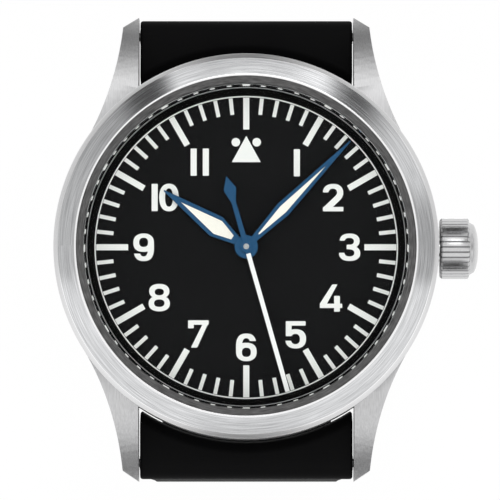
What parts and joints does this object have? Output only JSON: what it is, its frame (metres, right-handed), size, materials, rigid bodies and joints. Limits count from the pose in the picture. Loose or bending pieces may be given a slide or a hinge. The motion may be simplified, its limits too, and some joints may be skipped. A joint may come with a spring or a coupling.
{
  "type": "pilot watch",
  "caption": "Steel pilot watch with a black numeral dial, blued hands, fluted crown, hand-wound movement and a black rubber pin-buckle strap standing open.",
  "frame": {"origin": "centre of the case back's outer face, on the axis of the hands", "axes": "+Z out of the dial, +Y towards 12 o'clock, +X towards the crown"},
  "size_m": [0.0397, 0.0469, 0.0949],
  "materials": {
    "brushed_steel": "fine circular brushing",
    "polished_steel": "polished",
    "crystal_glass": "clear, both faces coated",
    "gasket_nylon": "dull dark grey",
    "ring_black": "matt black",
    "dial_black": "matt black, very fine grain",
    "lume_white": "matt off-white luminous paint",
    "hand_lume": "matt cream luminous paint",
    "blued_steel": "heat-blued, satin",
    "seconds_paint": "blued tail, white painted front",
    "plate_metal": "nickel plated, fine striping",
    "holder_metal": "turned, nickel plated",
    "gilt_brass": "gilt, fine circular grain",
    "hard_steel": "hardened, polished teeth",
    "ruby": "polished synthetic ruby",
    "blued_screw": "blued screw heads",
    "spring_steel": "spring steel",
    "seal_rubber": "black seal",
    "strap_rubber": "smooth black rubber, silky"
  },
  "bodies": {
    "head": {"case_middle": "brushed_steel", "bezel": "brushed_steel", "crystal": "crystal_glass", "crystal_gasket": "gasket_nylon", "dial_ring": "ring_black", "dial": "dial_black", "dial_markers": "lume_white", "movement_holder": "holder_metal", "mainplate": "plate_metal", "barrel_bridge": "plate_metal", "train_bridge": "plate_metal", "pallet_bridge": "plate_metal", "balance_cock": "plate_metal", "jewels": "ruby", "movement_screws": "blued_screw", "case_back": "brushed_steel", "back_crystal": "crystal_glass", "back_gasket": "seal_rubber", "crown_tube": "polished_steel", "spring_bars": "polished_steel", "click_spring": "spring_steel", "hairspring": "spring_steel"},
    "minute_train": {"centre_wheel": "gilt_brass", "cannon_pinion": "hard_steel", "minute_hand": "blued_steel", "minute_lume": "hand_lume"},
    "hour_train": {"hour_wheel": "gilt_brass", "hour_hand": "blued_steel", "hour_lume": "hand_lume"},
    "seconds_train": {"seconds_pinion": "hard_steel", "seconds_hand": "seconds_paint"},
    "minute_wheel": {"minute_wheel": "gilt_brass"},
    "setting_wheel": {"setting_wheel": "hard_steel"},
    "third_wheel": {"third_wheel": "gilt_brass"},
    "fourth_wheel": {"fourth_wheel": "gilt_brass"},
    "escape_wheel": {"escape_wheel": "hard_steel"},
    "barrel": {"barrel_drum": "gilt_brass", "barrel_cover": "gilt_brass", "mainspring": "spring_steel"},
    "winding_pinion": {"winding_pinion": "hard_steel"},
    "crown_stem": {"crown": "brushed_steel", "winding_stem": "hard_steel"},
    "sliding_pinion": {"sliding_pinion": "hard_steel"},
    "setting_lever": {"setting_lever": "hard_steel"},
    "crown_wheel": {"crown_wheel": "hard_steel"},
    "ratchet": {"ratchet_wheel": "hard_steel", "barrel_arbor": "hard_steel"},
    "click": {"click": "hard_steel"},
    "pallet_fork": {"pallet_fork": "hard_steel"},
    "balance": {"balance_wheel": "gilt_brass"},
    "bar_tip_12_crown": {"bar_tip_12_crown": "polished_steel"},
    "bar_tip_12_left": {"bar_tip_12_left": "polished_steel"},
    "bar_tip_6_crown": {"bar_tip_6_crown": "polished_steel"},
    "bar_tip_6_left": {"bar_tip_6_left": "polished_steel"},
    "strap_short": {"strap_short": "strap_rubber", "buckle_bar": "polished_steel"},
    "strap_long": {"strap_long": "strap_rubber"},
    "free_keeper": {"free_keeper": "strap_rubber"},
    "buckle_frame": {"buckle_frame": "brushed_steel"},
    "buckle_tang": {"buckle_tang": "brushed_steel"}
  },
  "joints": [
    {"name": "minute_turn", "type": "hinge", "parent": "head", "child": "minute_train", "pos_m": [0, 0, 0.005], "axis": [0, 0, -1], "continuous": true},
    {"name": "hour_turn", "type": "hinge", "parent": "head", "child": "hour_train", "pos_m": [0, 0, 0.0052], "axis": [0, 0, -1], "continuous": true},
    {"name": "seconds_turn", "type": "hinge", "parent": "head", "child": "seconds_train", "pos_m": [0, 0, 0.0032], "axis": [0, 0, -1], "continuous": true},
    {"name": "minute_wheel_turn", "type": "hinge", "parent": "head", "child": "minute_wheel", "pos_m": [0.00226, -0.00082, 0.005], "axis": [0, 0, -1], "continuous": true},
    {"name": "setting_wheel_turn", "type": "hinge", "parent": "head", "child": "setting_wheel", "pos_m": [0.00534, -0.0005, 0.005], "axis": [0, 0, -1], "continuous": true},
    {"name": "third_turn", "type": "hinge", "parent": "head", "child": "third_wheel", "pos_m": [-0.00443, -0.00078, 0.0034], "axis": [0, 0, -1], "continuous": true},
    {"name": "fourth_turn", "type": "hinge", "parent": "head", "child": "fourth_wheel", "pos_m": [-0.00289, -0.00501, 0.0034], "axis": [0, 0, -1], "continuous": true},
    {"name": "escape_turn", "type": "hinge", "parent": "head", "child": "escape_wheel", "pos_m": [0.00077, -0.00634, 0.0034], "axis": [0, 0, -1], "continuous": true},
    {"name": "barrel_turn", "type": "hinge", "parent": "head", "child": "barrel", "pos_m": [0.00329, 0.00512, 0.0033], "axis": [0, 0, -1], "continuous": true},
    {"name": "crown_turn", "type": "hinge", "parent": "head", "child": "winding_pinion", "pos_m": [0.00925, 0, 0.00365], "axis": [1, 0, 0], "continuous": true},
    {"name": "crown_pull", "type": "slide", "parent": "winding_pinion", "child": "crown_stem", "axis": [1, 0, 0], "range_m": [0, 0.0011]},
    {"name": "sliding_pinion_shift", "type": "slide", "parent": "winding_pinion", "child": "sliding_pinion", "axis": [1, 0, 0], "range_m": [-0.0007, 0]},
    {"name": "setting_lever_turn", "type": "hinge", "parent": "head", "child": "setting_lever", "pos_m": [0.0106, -0.0039, 0.004], "axis": [0, 0, -1], "range_deg": [0, 18.35]},
    {"name": "crown_wheel_turn", "type": "hinge", "parent": "head", "child": "crown_wheel", "pos_m": [0.0066, 0, 0.0022], "axis": [0, 0, 1], "continuous": true},
    {"name": "ratchet_turn", "type": "hinge", "parent": "head", "child": "ratchet", "pos_m": [0.00329, 0.00512, 0.0022], "axis": [0, 0, 1], "continuous": true},
    {"name": "click_lift", "type": "hinge", "parent": "head", "child": "click", "pos_m": [0.00456, 0.00995, 0.0022], "axis": [0, 0, 1], "range_deg": [0, 8], "stiffness_Nm_per_rad": 0.00002, "springref_deg": -2.86},
    {"name": "pallet_rock", "type": "hinge", "parent": "head", "child": "pallet_fork", "pos_m": [0.00343, -0.00589, 0.0039], "axis": [0, 0, 1], "range_deg": [-5, 5]},
    {"name": "balance_swing", "type": "hinge", "parent": "head", "child": "balance", "pos_m": [0.0063, -0.0054, 0.003], "axis": [0, 0, 1], "range_deg": [-270, 270], "stiffness_Nm_per_rad": 0.0000008, "deforming": ["hairspring"]},
    {"name": "bar_tip_12_crown_push", "type": "slide", "parent": "head", "child": "bar_tip_12_crown", "axis": [1, 0, 0], "range_m": [-0.00085, 0], "stiffness_N_per_m": 1500},
    {"name": "bar_tip_12_left_push", "type": "slide", "parent": "head", "child": "bar_tip_12_left", "axis": [1, 0, 0], "range_m": [0, 0.00085], "stiffness_N_per_m": 1500},
    {"name": "bar_tip_6_crown_push", "type": "slide", "parent": "head", "child": "bar_tip_6_crown", "axis": [1, 0, 0], "range_m": [-0.00085, 0], "stiffness_N_per_m": 1500},
    {"name": "bar_tip_6_left_push", "type": "slide", "parent": "head", "child": "bar_tip_6_left", "axis": [1, 0, 0], "range_m": [0, 0.00085], "stiffness_N_per_m": 1500},
    {"name": "strap_short_swing", "type": "hinge", "parent": "head", "child": "strap_short", "pos_m": [0, 0.0201, 0.0019], "axis": [1, 0, 0], "range_deg": [0, 50]},
    {"name": "strap_long_swing", "type": "hinge", "parent": "head", "child": "strap_long", "pos_m": [0, -0.0201, 0.0019], "axis": [-1, 0, 0], "range_deg": [0, 50]},
    {"name": "free_keeper_slide", "type": "slide", "parent": "strap_short", "child": "free_keeper", "axis": [0, 0, 1], "range_m": [-0.005, 0.02]},
    {"name": "buckle_swing", "type": "hinge", "parent": "strap_short", "child": "buckle_frame", "pos_m": [0, 0.0201, -0.0681], "axis": [1, 0, 0], "range_deg": [-50, 30]},
    {"name": "tang_swing", "type": "hinge", "parent": "buckle_frame", "child": "buckle_tang", "pos_m": [0, 0.0201, -0.0681], "axis": [1, 0, 0], "range_deg": [0, 60]}
  ],
  "couplings": [
    {"joint": "hour_turn", "follows": "minute_turn", "ratio": 0.083333},
    {"joint": "minute_wheel_turn", "follows": "minute_turn", "ratio": -0.33333},
    {"joint": "setting_wheel_turn", "follows": "minute_turn", "ratio": 0.46154},
    {"joint": "third_turn", "follows": "minute_turn", "ratio": -8},
    {"joint": "seconds_turn", "follows": "minute_turn", "ratio": 60},
    {"joint": "fourth_turn", "follows": "minute_turn", "ratio": 60},
    {"joint": "escape_turn", "follows": "minute_turn", "ratio": -720},
    {"joint": "barrel_turn", "follows": "minute_turn", "ratio": -0.16667},
    {"joint": "crown_wheel_turn", "follows": "crown_turn", "ratio": 0.52},
    {"joint": "ratchet_turn", "follows": "crown_turn", "ratio": -0.36111},
    {"joint": "sliding_pinion_shift", "follows": "crown_pull", "ratio": -0.6},
    {"joint": "setting_lever_turn", "follows": "crown_pull", "rad_per_m": 283.27}
  ]
}
